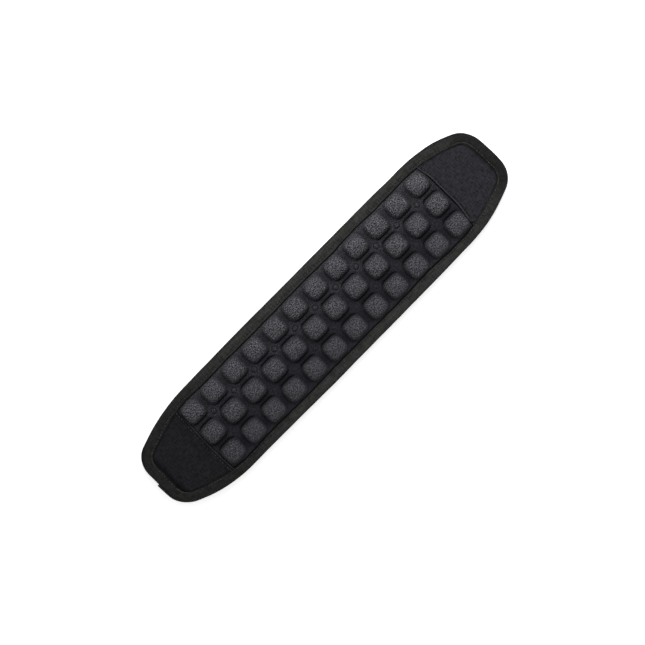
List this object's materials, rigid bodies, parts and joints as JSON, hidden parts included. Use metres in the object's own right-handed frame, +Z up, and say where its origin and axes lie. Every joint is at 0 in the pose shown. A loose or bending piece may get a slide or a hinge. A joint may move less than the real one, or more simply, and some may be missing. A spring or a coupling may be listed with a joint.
{
  "type": "air-cell strap pad",
  "caption": "Long flat strap pad with rows of pillow-shaped air cells, plain end panels, a bound edge and a wrap-over strap sleeve behind.",
  "frame": {"origin": "on the surface the pad lies on, below the centre of its outline", "axes": "+X along the pad's length, away from the lap in its edge binding; +Z up, out of the air cells; +Y across the pad, away from the sleeve's hinge"},
  "size_m": [0.3611, 0.08, 0.0188],
  "materials": {
    "cover_fabric": "matte fine knit, paler over the cells",
    "panel_fabric": "matte close weave",
    "binding_tape": "ribbed woven tape, slightly warm black",
    "thread": "twisted polyester sewing thread",
    "cell_film": "translucent thermoformed film",
    "foam": "closed-cell foam",
    "back_fabric": "plain woven",
    "loop_pile": "napped loop pile",
    "hook_tape": "rows of small nylon hooks",
    "grip_rubber": "soft anti-slip sheet with small raised dots"
  },
  "bodies": {
    "pad": {"front_cover": "cover_fabric", "air_cell_film": "cell_film", "cell_base_film": "cell_film", "foam_core": "foam", "back_cover": "back_fabric", "left_end_panel": "panel_fabric", "right_end_panel": "panel_fabric", "left_hem_thread": "thread", "right_hem_thread": "thread", "edge_binding": "binding_tape", "binding_thread_front": "thread", "binding_thread_back": "thread", "flap_sewn_margin": "back_fabric", "flap_margin_thread": "thread", "loop_strip": "loop_pile", "loop_strip_thread": "thread", "grip_strip": "grip_rubber"},
    "flap": {"sleeve_flap": "back_fabric", "hook_strip": "hook_tape", "hook_strip_thread": "thread"}
  },
  "joints": [
    {"name": "sleeve_flap_hinge", "type": "hinge", "parent": "pad", "child": "flap", "pos_m": [0, -0.0378, 0.005], "axis": [-1, 0, 0], "range_deg": [0, 176]}
  ]
}
